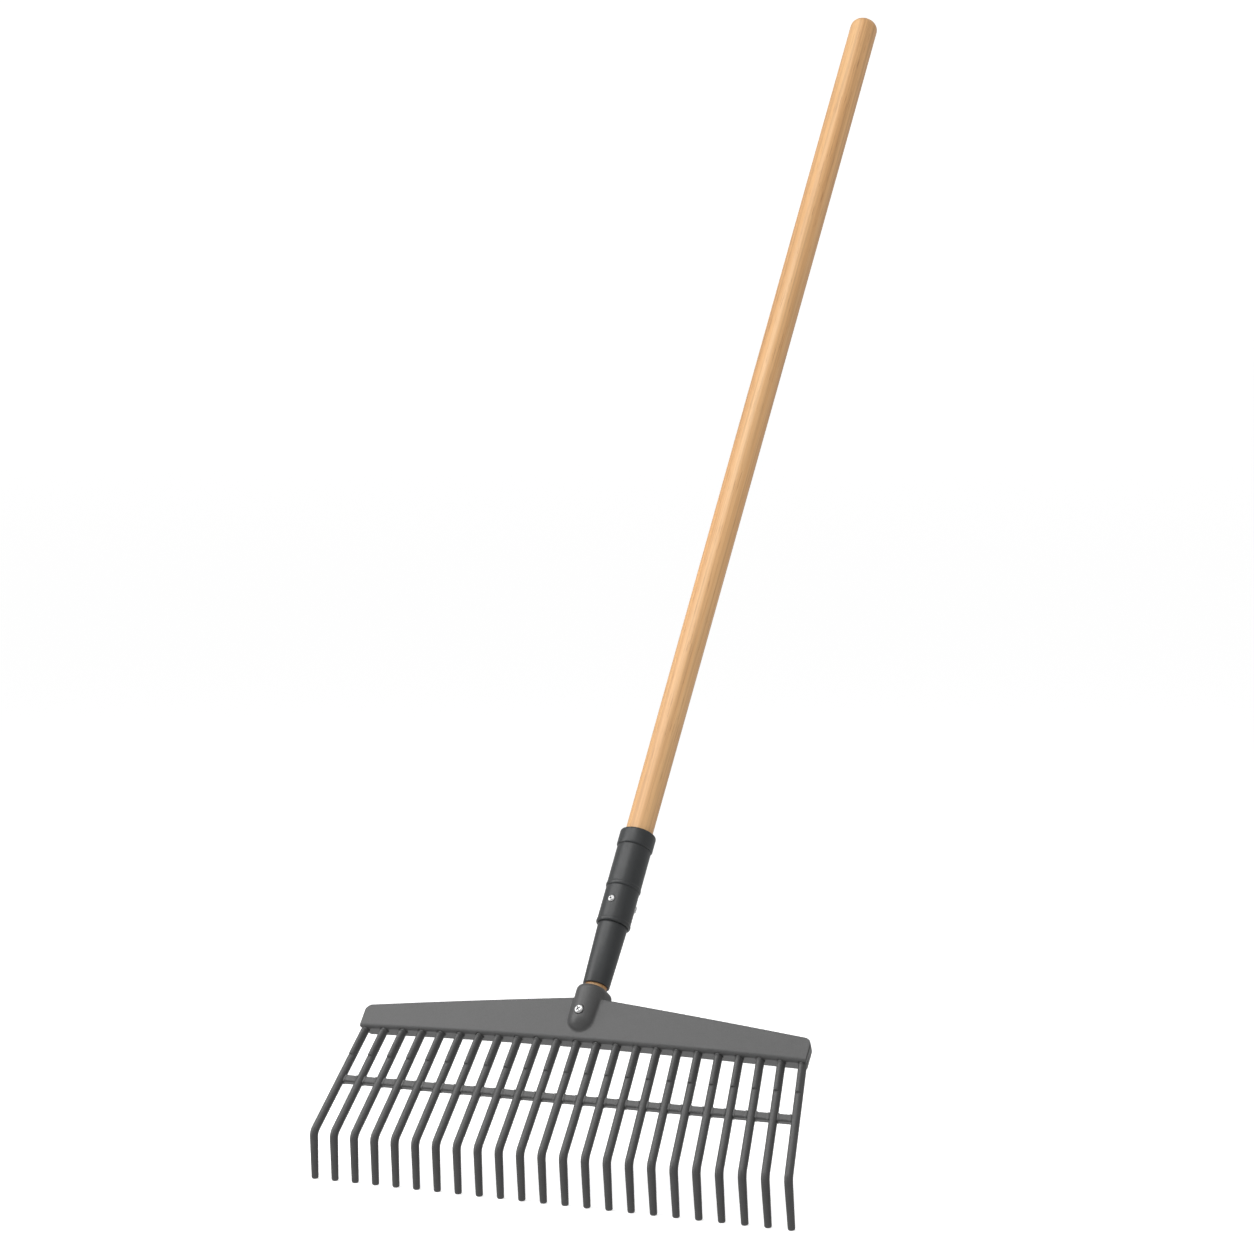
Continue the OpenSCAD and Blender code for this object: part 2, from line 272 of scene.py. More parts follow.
def cut(obj, cutters):
    """Takes the cutters' shapes out of obj, and removes the cutters."""
    for tool in cutters:
        change = obj.modifiers.new("cut", "BOOLEAN")
        change.operation = "DIFFERENCE"
        change.solver = "EXACT"
        change.object = tool
    bpy.context.view_layer.update()
    graph = bpy.context.evaluated_depsgraph_get()
    mesh = bpy.data.meshes.new_from_object(obj.evaluated_get(graph))
    obj.modifiers.clear()
    obj.data = mesh
    welded = bmesh.new()
    welded.from_mesh(mesh)
    bmesh.ops.remove_doubles(welded, verts=welded.verts[:], dist=0.002 * MM)
    welded.to_mesh(mesh)
    welded.free()
    for tool in cutters:
        bpy.data.objects.remove(tool)


# ---------------------------------------------------------------- moulded shapes, from distance fields

def round_and(a, b, r):
    """Intersection of two distances, with the shared edge rounded to r."""
    u, v = np.maximum(a + r, 0), np.maximum(b + r, 0)
    return np.minimum(-r, np.maximum(a, b)) + np.sqrt(u * u + v * v)


def round_or(a, b, r):
    """Union of two distances, with a fillet of radius r."""
    u, v = np.maximum(r - a, 0), np.maximum(r - b, 0)
    return np.maximum(r, np.minimum(a, b)) - np.sqrt(u * u + v * v)


def tine_index(x):
    return np.clip(np.round(x / PITCH), -(TINES // 2), TINES // 2)


def tine_distance(x, y, z):
    """Distance to the nearest tine's centre line, where tines fan out below their roots."""
    share = FAN * 2 / (TINES - 1)
    i = np.clip(np.round(x / (PITCH - share * z)), -(TINES // 2), TINES // 2)
    slope = share * i
    across = (x - i * PITCH + slope * z) / np.sqrt(1 + slope * slope)
    return np.sqrt(across * across + y * y)


def low_edge(x):
    return LOW_MID - LOW_ARCH * (x / BEAM_HALF) ** 2


def top_edge(x):
    run = np.abs(x) / END_RUN
    return BEAM_MID_H - BEAM_FALL * run + TOP_BOW * (1 - (2 * run - 1) ** 2)


def boss_field(x, y, z):
    """The handle boss: a domed front, flat sides, a deeper back and a rounded rim."""
    c, s = math.cos(TILT), math.sin(TILT)
    v, w = (y - AXIS_BACK) * c + z * s, -(y - AXIS_BACK) * s + z * c
    around = x * x + (v - np.clip(v, -BOSS_FLAT, BOSS_DEEP)) ** 2
    front = np.sqrt(around + np.minimum(w - BOSS_DOME_H, 0) ** 2) - BOSS_R
    back = round_and(np.maximum(np.sqrt(around) - BOSS_R, -v), BOSS_LOW - w, 1.5)
    return round_and(np.minimum(front, back), w - BOSS_H, BOSS_RIM), v, w


def head_field(p):
    """Signed distance, roughly, to the moulded head: beam, open ribbed back, tine sockets and boss."""
    x, y, z = p[:, 0], p[:, 1], p[:, 2]
    front, back = -(y + BEAM_FRONT), y - BEAM_BACK
    low, top = low_edge(x) - z, (z - top_edge(x)) * 0.995
    side = np.abs(x) - (BEAM_HALF - END_DRAFT * (y + BEAM_FRONT) / (BEAM_FRONT + BEAM_BACK))
    outline = np.maximum(round_and(side, top, CORNER_R), round_and(side, low, 2.0))
    beam = np.maximum.reduce([
        round_and(front, low, 4.5), round_and(front, top, 0.9), round_and(front, side, 1.8),
        round_and(back, outline, 1.2), outline,
    ])
    pocket = np.maximum.reduce([front + WALL, round_and(low + WALL, top + WALL, 1.5), side + WALL])
    i = tine_index(x)
    rib_side = np.abs(x - i * PITCH) - POCKET_RIB_HALF - POCKET_RIB_DRAFT * (BEAM_BACK - y)
    rib = np.maximum(rib_side, y - BEAM_BACK + POCKET_RIB_RECESS)
    near = tine_distance(x, y, z)
    socket = round_and(near - TINE_R - SOCKET_WALL, z - TENON - SOCKET_WALL, 1.0)
    inside = round_or(rib, socket, 1.2)
    body = np.maximum(beam, round_or(-pocket, inside, 1.2))
    boss, v, w = boss_field(x, y, z)
    body = round_or(body, boss, 1.6)
    spigot = round_and(np.sqrt(x * x + v * v) - SPIGOT_R - 0.05, SPIGOT_LOW - w, 0.5)
    body = round_and(body, -spigot, 0.8)
    seat = np.maximum(np.sqrt(x * x + (w - BOSS_SCREW_H) ** 2) - SEAT_R, v + BOSS_R + BOSS_FLAT - SCREW_SEAT)
    body = round_and(body, -seat, 0.3)
    bore = np.maximum(near - TINE_R - 0.05, z - TENON)
    return round_and(body, -bore, 0.35)


def bar_field(p):
    """Signed distance, roughly, to the comb bar with its tine seats."""
    x, y, z = p[:, 0], p[:, 1], p[:, 2]
    high, low = z + BAR_DROP - BAR_H / 2, -BAR_H / 2 - BAR_DROP - z
    front, back = BAR_FRONT - y, y - BAR_BACK
    level = np.maximum(high, low)
    end = np.abs(x) - (ROOT_HALF + FAN * BAR_DROP + BAR_END)
    bar = np.maximum.reduce([
        round_and(front, low, 2.0), round_and(front, high, 1.0), round_and(back, level, 1.2),
    ])
    near = tine_distance(x, y, z)
    hug = np.maximum.reduce([near - TINE_R - 1.3, level + 0.25, front + 0.3, back + 0.3])
    bar = round_and(round_or(bar, hug, 1.8), end, 0.6)
    return round_and(bar, 0.04 + TINE_R - near, 0.4)


def gradient(field, p, step=0.02):
    """The field's slope at each point, by differences."""
    out = np.empty_like(p)
    for axis in range(3):
        shift = np.zeros(3)
        shift[axis] = step
        out[:, axis] = (field(p + shift) - field(p - shift)) / (2 * step)
    return out


def clear_saddles(value):
    """Flips the value nearest zero on each grid face whose corners change sign four times.
    Such a face would join four quads at one edge."""
    def is_saddle(a, b, c, d):
        return (a == d) & (b == c) & (a != b)

    steps = np.eye(3, dtype=int)
    sides = ((0, 0), (1, 0), (0, 1), (1, 1))
    for _ in range(12):
        found = 0
        for u, v in ((0, 1), (1, 2), (0, 2)):
            inside, views = value < 0, []
            for du, dv in sides:
                part = [slice(None)] * 3
                part[u] = slice(du, value.shape[u] - 1 + du)
                part[v] = slice(dv, value.shape[v] - 1 + dv)
                views.append(inside[tuple(part)])
            for at in np.argwhere(is_saddle(*views)):
                corners = [tuple(at + du * steps[u] + dv * steps[v]) for du, dv in sides]
                if is_saddle(*(value[c] < 0 for c in corners)):
                    nearest = min(corners, key=lambda c: abs(value[c]))
                    value[nearest] = -value[nearest]
                    found += 1
        if not found:
            return


def surface_net(field, low, high, cell):
    """Points and quads of the field's zero surface on a regular grid, pulled onto the surface."""
    axes = [np.arange(a, b + cell, cell) for a, b in zip(low, high)]
    shape = [len(a) for a in axes]
    grid = np.stack(np.meshgrid(*axes, indexing="ij"), -1).reshape(-1, 3)
    value = np.concatenate([field(part) for part in np.array_split(grid, 16)]).reshape(shape)
    clear_saddles(value)
    inside = value < 0
    total, weight = np.zeros([n - 1 for n in shape] + [3]), np.zeros([n - 1 for n in shape])
    corners = [(a, b, c) for a in (0, 1) for b in (0, 1) for c in (0, 1)]
    view = {k: tuple(slice(o, o + n - 1) for o, n in zip(k, shape)) for k in corners}
    for k in corners:
        for axis in range(3):
            if k[axis]:
                continue
            m = tuple(1 if n == axis else o for n, o in enumerate(k))
            a, b = value[view[k]], value[view[m]]
            crosses = (a < 0) != (b < 0)
            part = np.where(crosses, a / np.where(crosses, a - b, 1), 0)
            for n in range(3):
                total[..., n] += crosses * (part if n == axis else k[n])
            weight += crosses
    used = weight > 0
    number = np.full(used.shape, -1)
    number[used] = np.arange(used.sum())
    cells = np.argwhere(used)
    points = (cells + total[used] / weight[used][:, None]) * cell + np.array([a[0] for a in axes])
    faces = []
    for axis in range(3):
        u, v = (axis + 1) % 3, (axis + 2) % 3
        ahead = [slice(None)] * 3
        ahead[axis] = slice(1, None)
        here = [slice(None)] * 3
        here[axis] = slice(None, -1)
        first, second = inside[tuple(here)], inside[tuple(ahead)]
        at = np.argwhere(first != second)
        at = at[(at[:, u] > 0) & (at[:, v] > 0) & (at[:, u] < shape[u] - 1) & (at[:, v] < shape[v] - 1)]
        quad = []
        for du, dv in ((1, 1), (0, 1), (0, 0), (1, 0)):
            where = at.copy()
            where[:, u] -= du
            where[:, v] -= dv
            quad.append(number[tuple(where.T)])
        quad = np.stack(quad, 1)
        flip = ~first[tuple(at.T)]
        quad[flip] = quad[flip][:, ::-1]
        faces.append(quad)
    for _ in range(5):
        slope = gradient(field, points)
        size = np.maximum((slope ** 2).sum(1), 0.25)
        move = slope * (field(points) / size)[:, None]
        longest = np.maximum(np.linalg.norm(move, axis=1) / (cell * 0.5), 1)
        points = points - move / longest[:, None]
    return points, np.concatenate(faces)


def moulded(name, field, low, high, cell):
    """A moulded piece in the head's frame, the same on both sides of x = 0: half a surface net, mirrored.
    low is its lowest (y, z) and high its highest (x, y, z)."""
    points, faces = surface_net(field, (-cell * 1.5, *low), high, cell)
    keep = points[:, 0] > -cell * 0.3
    near = np.abs(points[:, 0]) < cell * 0.3
    points[near, 0] = 0
    faces = faces[keep[faces].all(1)]
    faces = faces[~near[faces].all(1)]
    obj = new_object(name, points, faces.tolist(), HEAD)
    mesh = bmesh.new()
    mesh.from_mesh(obj.data)
    loose = [v for v in mesh.verts if not v.link_faces]
    bmesh.ops.delete(mesh, geom=loose, context="VERTS")
    twin = bmesh.ops.duplicate(mesh, geom=mesh.verts[:] + mesh.edges[:] + mesh.faces[:])["geom"]
    bmesh.ops.scale(mesh, vec=(-1, 1, 1), verts=[g for g in twin if isinstance(g, bmesh.types.BMVert)])
    bmesh.ops.reverse_faces(mesh, faces=[g for g in twin if isinstance(g, bmesh.types.BMFace)])
    seam = [v for v in mesh.verts if abs(v.co.x) < 1e-7]
    bmesh.ops.remove_doubles(mesh, verts=seam, dist=1e-6)
    mesh.to_mesh(obj.data)
    mesh.free()
    obj.data.shade_smooth()
    where = np.empty(len(obj.data.vertices) * 3)
    obj.data.vertices.foreach_get("co", where)
    slope = gradient(field, where.reshape(-1, 3) / MM)
    slope /= np.maximum(np.linalg.norm(slope, axis=1, keepdims=True), 1e-9)
    obj.data.normals_split_custom_set_from_vertices(slope.tolist())
    bake_place(obj)
    return obj


# ---------------------------------------------------------------- tines

def tine_path(i):
    """Centre points, directions, radii and rib strengths down tine i, in the head's frame."""
    t = (i - (TINES + 1) / 2) * 2 / (TINES - 1)
    upper, lower = Vector((FAN * t, 0, -1)), Vector((LOWER_FAN * t, math.sin(BEND), -math.cos(BEND)))
    root = Vector((t * ROOT_HALF, 0, 0))
    corner = root + upper * UPPER_DROP
    low_len = LOWER_DROP * lower.length
    slant = upper.length
    upper.normalize()
    lower.normalize()
    turn = upper.angle(lower)
    tangent = BEND_R * math.tan(turn / 2)
    side = upper.cross(lower).normalized()
    rows = []

    def add(point, direction, radius, rib=0.0, groove=0.0):
        rows.append((point, direction, radius, rib, groove))

    under = float(low_edge(root.x))
    step = RIB_DROP * slant
    add(root - upper * TENON, upper, TINE_R - 0.3)
    add(root - upper * (TENON - 0.3), upper, TINE_R)
    add(root - upper * under, upper, TINE_R)
    for s, rib in ((0.3, 0.0), (0.7, 0.38), (1.2, 0.6), (1.9, 0.8), (2.8, 0.93), (4.0, 1.0)):
        add(root + upper * (s - under), upper, TINE_R, rib)
    for s in np.linspace(6 - under, step - 1.4, 8):
        add(root + upper * float(s), upper, TINE_R, 1.0)
    for s, rib, groove in ((-0.8, 0.95, 0), (-0.35, 0.75, 0), (-0.1, 0.4, 0.5), (0.1, 0, 1), (0.6, 0, 1),
                           (1.1, 0, 0.4), (1.7, 0, 0)):
        add(root + upper * (step + s), upper, TINE_R, rib, groove)
    bend_start = UPPER_DROP * slant - tangent
    for s in np.linspace(step + 6, bend_start - 4, 6):
        add(root + upper * float(s), upper, TINE_R)
    centre = corner - upper * tangent + upper.cross(side) * -BEND_R
    arm = (corner - upper * tangent) - centre
    for k in range(13):
        spin = Matrix.Rotation(turn * k / 12, 3, side)
        swell = 0.06 * math.sin(math.pi * k / 12)
        add(centre + spin @ arm, spin @ upper, TINE_R + swell)
    run = low_len - tangent
    taper = (TINE_R - TIP_R) / (run - TIP_ROUND)
    for s in np.linspace(3, run - TIP_ROUND - 1, 6):
        add(corner + lower * (tangent + float(s)), lower, TINE_R - taper * float(s))
    for a in np.linspace(0, math.pi / 2, 6):
        radius = TIP_R - TIP_ROUND + TIP_ROUND * math.cos(a)
        add(corner + lower * (low_len - TIP_ROUND + TIP_ROUND * math.sin(a)), lower, radius)
    return rows, side


def build_tine(i, material):
    rows, side = tine_path(i)
    segments = 32
    points, faces = [], []
    for point, direction, radius, rib, groove in rows:
        out = direction.cross(side).normalized()
        front = Vector((0, -1, 0))
        turned = math.atan2(front.dot(side), front.dot(out))
        for k in range(segments):
            a = 2 * math.pi * k / segments
            psi = a - turned
            reach = radius
            if rib > 0:
                inside = RIB_R ** 2 - (RIB_FORWARD * math.sin(psi)) ** 2
                reach_rib = RIB_FORWARD * math.cos(psi) + math.sqrt(inside)
                reach += rib * max(0.0, reach_rib - radius)
            if groove > 0:
                reach -= 0.4 * groove * max(0.0, math.cos(psi)) ** 2
            points.append(point + (out * math.cos(a) + side * math.sin(a)) * reach)
    for n in range(len(rows) - 1):
        for k in range(segments):
            m = (k + 1) % segments
            faces.append([n * segments + k, n * segments + m, (n + 1) * segments + m, (n + 1) * segments + k])
    faces.append(list(range(segments))[::-1])
    last = (len(rows) - 1) * segments
    faces.append([last + k for k in range(segments)])
    name = f"tine_{i:02d}"
    obj = new_object("shaped_" + name, points, faces, HEAD)
    fix_normals(obj)
    sharp_by_angle(obj, 50)
    bake_place(obj)
    return finish_piece(obj, name, material)


# ---------------------------------------------------------------- handle and ferrule

def tenon_r(h):
    """The wood's radius inside the ferrule."""
    if h < TENON_TOP:
        return TENON_LOW_R + (TENON_TOP_R - TENON_LOW_R) * (h - FERRULE_LOW) / (TENON_TOP - FERRULE_LOW)
    return TENON_TOP_R + (NECK_R - TENON_TOP_R) * (h - TENON_TOP) / (FERRULE_TOP - TENON_TOP)


def screw_cutters():
    """Stepped cutters for the ferrule screws: a seat for each head and a hole for its shank."""
    hole, seat, deep, out = FERRULE_HOLE_R, FERRULE_SEAT_R, -7.0, 5.0
    outline = [(0, deep), (hole, deep), (hole, 0), (seat, 0), (seat, out), (0, out)]
    floor_r = MIDDLE_R - SCREW_SEAT - 0.05
    return [lathe("cutter", outline, on_side(FERRULE_SCREW_H, floor_r, angle), 48) for angle in FERRULE_TURNS]


def build_handle(material):
    outline = [
        (0, SPIGOT_LOW), (SPIGOT_R - SPIGOT_CHAMFER, SPIGOT_LOW), (SPIGOT_R, SPIGOT_LOW + SPIGOT_CHAMFER),
        (SPIGOT_R, FERRULE_LOW),
    ]
    outline += [(tenon_r(h), h) for h in (FERRULE_LOW, TENON_TOP, FERRULE_TOP)]
    straight = HANDLE_L - DOME_R - GRIP_L
    for h in np.linspace(FERRULE_TOP, straight, 24)[1:]:
        share = (float(h) - FERRULE_TOP) / (straight - FERRULE_TOP)
        outline.append((NECK_R + (GRIP_R - NECK_R) * share, float(h)))
    for h in np.linspace(straight, HANDLE_L - DOME_R, 5)[1:-1]:
        outline.append((GRIP_R, float(h)))
    for a in np.linspace(0, math.pi / 2, 12):
        outline.append((GRIP_R - DOME_R + DOME_R * math.cos(a), HANDLE_L - DOME_R + DOME_R * math.sin(a)))
    outline.append((0, HANDLE_L))
    obj = lathe("turned_handle", outline, HANDLE, 128)
    sharp_by_angle(obj, 40)
    return finish_piece(obj, "handle", material)


def sleeve(name, outline, material, holes=False):
    """A ferrule sleeve from its outline of (radius, height, corner rounding)."""
    obj = lathe("turned_" + name, rounded(outline), HANDLE, 128)
    if holes:
        cut(obj, screw_cutters())
    sharp_by_angle(obj, 35)
    return finish_piece(obj, name, material)


def lip(neck, step, r):
    """Outline points of the rolled lip at a sleeve's lower end, which stands off the neck that it covers."""
    return [
        (neck, step + LIP_GAP, 0.3), (r - 0.4, step + LIP_GAP - 0.3, 0.6), (r + 0.45, step + 1.4, 0.9),
        (r + 0.45, step + 3.6, 1.2), (r, step + 5.2, 1.4),
    ]


def build_ferrule(material):
    neck_1, neck_2, neck_3 = LOWER_TOP_R - 0.3, MIDDLE_R - 1.4, UPPER_R - 1.4
    top_1, top_2, top_3 = STEP_1 + NECK_LEN, STEP_2 + NECK_LEN, FERRULE_TOP - 4
    sleeve("ferrule_lower", [
        (tenon_r(FERRULE_LOW), FERRULE_LOW, 0), (LOWER_R, FERRULE_LOW, 0.9), (LOWER_TOP_R, STEP_1, 0.3),
        (neck_1, STEP_1 + 0.05, 0), (neck_1, top_1, 0), (tenon_r(top_1), top_1, 0),
    ], material)
    sleeve("ferrule_middle", lip(neck_1, STEP_1, MIDDLE_R) + [
        (MIDDLE_R, STEP_2, 0.3), (neck_2, STEP_2 + 0.05, 0), (neck_2, top_2, 0),
        (tenon_r(top_2), top_2, 0), (tenon_r(top_1), top_1, 0), (neck_1, top_1, 0),
    ], material, holes=True)
    sleeve("ferrule_upper", lip(neck_2, STEP_2, UPPER_R) + [
        (UPPER_R, STEP_3, 0.3), (neck_3, STEP_3 + 0.05, 0), (neck_3, top_3, 0),
        (tenon_r(top_3), top_3, 0), (TENON_TOP_R, TENON_TOP, 0), (tenon_r(top_2), top_2, 0), (neck_2, top_2, 0),
    ], material)
    sleeve("collar_ring", [
        (neck_3, STEP_3 + LIP_GAP, 0.3), (COLLAR_R - 0.8, STEP_3 + LIP_GAP - 0.3, 0.6),
        (COLLAR_R, STEP_3 + 1.4, 1.0), (COLLAR_R, FERRULE_TOP, 3.6),
        (NECK_R + 0.02, FERRULE_TOP, 0.5), (tenon_r(top_3), top_3, 0), (neck_3, top_3, 0),
    ], material)


# ---------------------------------------------------------------- screws

def recess_cutter(size, depth, place):
    """A cross-shaped driver recess that narrows towards its bottom."""
    arm, width = size * 0.30, size * 0.075
    points, faces = [], []
    corners = [(arm, -width), (arm, width), (width, width), (width, arm), (-width, arm), (-width, width),
               (-arm, width), (-arm, -width), (-width, -width), (-width, -arm), (width, -arm), (width, -width)]
    for h, scale in ((-depth, 0.55), (0.0, 1.0), (2.0, 1.25)):
        points += [(x * scale, y * scale, h) for x, y in corners]
    n = len(corners)
    for level in (0, 1):
        for k in range(n):
            m = (k + 1) % n
            faces.append([level * n + k, level * n + m, (level + 1) * n + m, (level + 1) * n + k])
    faces += [list(range(n))[::-1], [2 * n + k for k in range(n)]]
    obj = new_object("cutter", points, faces, place)
    fix_normals(obj)
    return obj


def pan_screw(name, place, head_d, head_h, shank_r, shank_l, spin):
    """A pan-head screw: the underside of its head at the origin of place, Z outwards."""
    edge, crown = head_h * 0.4, head_h * 0.6
    outline = [
        (0, -shank_l), (shank_r * 0.3, -shank_l), (shank_r, -shank_l + shank_r), (shank_r, 0),
        (head_d / 2 - 0.15, 0), (head_d / 2, 0.15),
    ]
    for a in np.linspace(0, math.pi / 2, 10):
        outline.append((head_d / 2 * (0.45 + 0.55 * math.cos(a)), edge + crown * math.sin(a)))
    outline.append((0, head_h))
    obj = lathe(name, outline, place, 48)
    turned = place @ Matrix.Translation((0, 0, head_h * MM)) @ Matrix.Rotation(math.radians(spin), 4, "Z")
    cut(obj, [recess_cutter(head_d, head_h * 0.75, turned)])
    sharp_by_angle(obj, 35)
    return obj


def on_side(height, radius, angle):
    """A frame on the handle's side: Z outwards, at an angle from the front."""
    place = HANDLE @ Matrix.Translation((0, 0, height * MM)) @ Matrix.Rotation(math.radians(angle), 4, "Z")
    return place @ Matrix.Translation((0, -radius * MM, 0)) @ rotation_x(math.pi / 2)


def join(objects, name):
    with bpy.context.temp_override(active_object=objects[0], selected_editable_objects=objects):
        bpy.ops.object.join()
    objects[0].name = name
    return objects[0]


def build_screws(material):
    big = pan_screw("zinc_boss_screw", on_side(BOSS_SCREW_H, BOSS_R + BOSS_FLAT - SCREW_SEAT, 0), *BOSS_SCREW, 38)
    finish_piece(big, "boss_screw", material)
    small = [
        pan_screw(f"screw_{n}", on_side(FERRULE_SCREW_H, MIDDLE_R - SCREW_SEAT, angle), *FERRULE_SCREW, spin)
        for n, (angle, spin) in enumerate(zip(FERRULE_TURNS, (20, 55, 5)))
    ]
    finish_piece(join(small, "zinc_ferrule_screws"), "ferrule_screws", material)


# ---------------------------------------------------------------- materials

class Nodes:
    """Short calls for building a material's node tree."""

    def __init__(self, name):
        self.material = bpy.data.materials.new(name)
        self.material.use_nodes = True
        self.tree = self.material.node_tree
        self.shader = self.tree.nodes["Principled BSDF"]

    def link(self, a, b):
        self.tree.links.new(a, b)

    def set(self, **values):
        for key, value in values.items():
            self.shader.inputs[key.replace("_", " ")].default_value = value

    def place(self, scale=(1, 1, 1)):
        """The piece's own coordinates, stretched by scale."""
        coordinates = self.tree.nodes.new("ShaderNodeTexCoord")
        mapping = self.tree.nodes.new("ShaderNodeMapping")
        mapping.inputs["Scale"].default_value = scale
        self.link(coordinates.outputs["Object"], mapping.inputs["Vector"])
        return mapping.outputs["Vector"]

    def noise(self, vector, scale, detail=2.0, rough=0.5, distortion=0.0):
        node = self.tree.nodes.new("ShaderNodeTexNoise")
        node.inputs["Scale"].default_value = scale
        node.inputs["Detail"].default_value = detail
        node.inputs["Roughness"].default_value = rough
        node.inputs["Distortion"].default_value = distortion
        self.link(vector, node.inputs["Vector"])
        return node.outputs["Fac"]

    def ramp(self, fac, stops):
        node = self.tree.nodes.new("ShaderNodeValToRGB")
        ramp = node.color_ramp
        while len(ramp.elements) < len(stops):
            ramp.elements.new(0.5)
        for element, (at, colour) in zip(ramp.elements, stops):
            element.position = at
            element.color = (*colour, 1)
        self.link(fac, node.inputs["Fac"])
        return node.outputs["Color"]

    def spread(self, fac, low, high, from_low=0.0, from_high=1.0):
        """Maps a value's range to another."""
        node = self.tree.nodes.new("ShaderNodeMapRange")
        for key, value in (("From Min", from_low), ("From Max", from_high), ("To Min", low), ("To Max", high)):
            node.inputs[key].default_value = value
        self.link(fac, node.inputs["Value"])
        return node.outputs["Result"]

    def mix(self, a, b, fac, kind="MIX"):
        """Mixes colours; a, b and fac are sockets or plain values."""
        node = self.tree.nodes.new("ShaderNodeMix")
        node.data_type = "RGBA"
        node.blend_type = kind
        for value, key in ((fac, 0), (a, 6), (b, 7)):
            if isinstance(value, bpy.types.NodeSocket):
                self.link(value, node.inputs[key])
            else:
                node.inputs[key].default_value = value
        return node.outputs[2]

    def bump(self, heights):
        """A chain of bumps, each (height, distance in metres, strength)."""
        normal = None
        for height, distance, strength in heights:
            node = self.tree.nodes.new("ShaderNodeBump")
            node.inputs["Distance"].default_value = distance
            node.inputs["Strength"].default_value = strength
            self.link(height, node.inputs["Height"])
            if normal is not None:
                self.link(normal, node.inputs["Normal"])
            normal = node.outputs["Normal"]
        self.link(normal, self.shader.inputs["Normal"])

    def colour(self, socket):
        self.link(socket, self.shader.inputs["Base Color"])

    def roughness(self, socket):
        self.link(socket, self.shader.inputs["Roughness"])


def grey(value):
    return (value, value, value)


def moulded_plastic(name, dark, light, rough_low, rough_high):
    """Injection-moulded plastic with a fine spark-eroded grain and slight cloudiness."""
    m = Nodes(name)
    own = m.place()
    cloud = m.noise(own, 55, 4, 0.55, 0.3)
    fine = m.noise(own, 900, 2, 0.6)
    base = m.ramp(cloud, [(0.3, dark), (0.7, light)])
    speck = m.ramp(fine, [(0.35, grey(0.90)), (0.65, grey(1.08))])
    m.colour(m.mix(base, speck, 0.8, "MULTIPLY"))
    m.roughness(m.spread(cloud, rough_low, rough_high, 0.3, 0.7))
    grain = m.noise(own, 2300, 2, 0.6)
    swirl = m.noise(own, 160, 3, 0.5)
    m.bump([(swirl, 0.0002, 0.25), (grain, 0.00012, 0.5)])
    m.set(IOR=1.48)
    return m.material


def head_plastic():
    return moulded_plastic("head_grey_plastic", grey(0.053), grey(0.063), 0.37, 0.45)


def ferrule_plastic():
    return moulded_plastic("ferrule_black_plastic", (0.020, 0.022, 0.023), (0.025, 0.027, 0.028), 0.34, 0.42)


def turned_wood():
    """Straight-grained ash: soft lengthwise streaks, growth lines, short dark pores and a satin varnish."""
    m = Nodes("turned_ash")
    streak_place = m.place((1, 1, 0.018))
    line_place = m.place((1, 1, 0.010))
    pore_place = m.place((1, 1, 0.035))
    own = m.place((1, 1, 0.2))
    broad = m.noise(streak_place, 70, 3, 0.55, 0.6)
    fine = m.noise(line_place, 420, 3, 0.65, 0.2)
    pore = m.noise(pore_place, 900, 2, 0.5)
    tone = m.noise(own, 12, 2, 0.5)
    base = m.ramp(broad, [(0.28, (0.53, 0.275, 0.105)), (0.5, (0.65, 0.37, 0.16)), (0.74, (0.73, 0.455, 0.22))])
    lines = m.ramp(fine, [(0.36, grey(0.78)), (0.52, grey(1.0)), (0.66, grey(1.06))])
    colour = m.mix(base, lines, 0.75, "MULTIPLY")
    dots = m.ramp(pore, [(0.30, (0.55, 0.45, 0.36)), (0.37, grey(1.0))])
    colour = m.mix(colour, dots, 0.6, "MULTIPLY")
    warm = m.ramp(tone, [(0.35, (1.0, 0.95, 0.88)), (0.65, (1.0, 1.02, 1.05))])
    m.colour(m.mix(colour, warm, 0.7, "MULTIPLY"))
    m.roughness(m.spread(fine, 0.46, 0.36, 0.35, 0.65))
    m.bump([(fine, 0.00025, 0.35), (pore, 0.0002, 0.25)])
    m.set(Coat_Weight=0.15, Coat_Roughness=0.35)
    return m.material


def zinc():
    """Bright zinc plate with a faint turned grain."""
    m = Nodes("zinc_plate")
    own = m.place()
    cloud = m.noise(own, 350, 3, 0.6)
    fine = m.noise(own, 2500, 2, 0.5)
    m.colour(m.ramp(cloud, [(0.3, grey(0.44)), (0.7, grey(0.56))]))
    m.roughness(m.spread(cloud, 0.24, 0.34, 0.3, 0.7))
    m.bump([(fine, 0.00005, 0.3)])
    m.set(Metallic=1.0)
    return m.material


# ---------------------------------------------------------------- the stage

def build_camera():
    data = bpy.data.cameras.new("camera")
    camera = bpy.data.objects.new("camera", data)
    bpy.context.scene.collection.objects.link(camera)
    yaw, pitch = math.radians(CAMERA_YAW), math.radians(CAMERA_PITCH)
    ahead = Vector((-math.sin(yaw) * math.cos(pitch), math.cos(yaw) * math.cos(pitch), -math.sin(pitch)))
    camera.location = CAMERA_AT
    camera.rotation_mode = "QUATERNION"
    camera.rotation_quaternion = ahead.to_track_quat("-Z", "Y")
    data.lens = LENS
    data.sensor_width = SENSOR
    bpy.context.scene.camera = camera


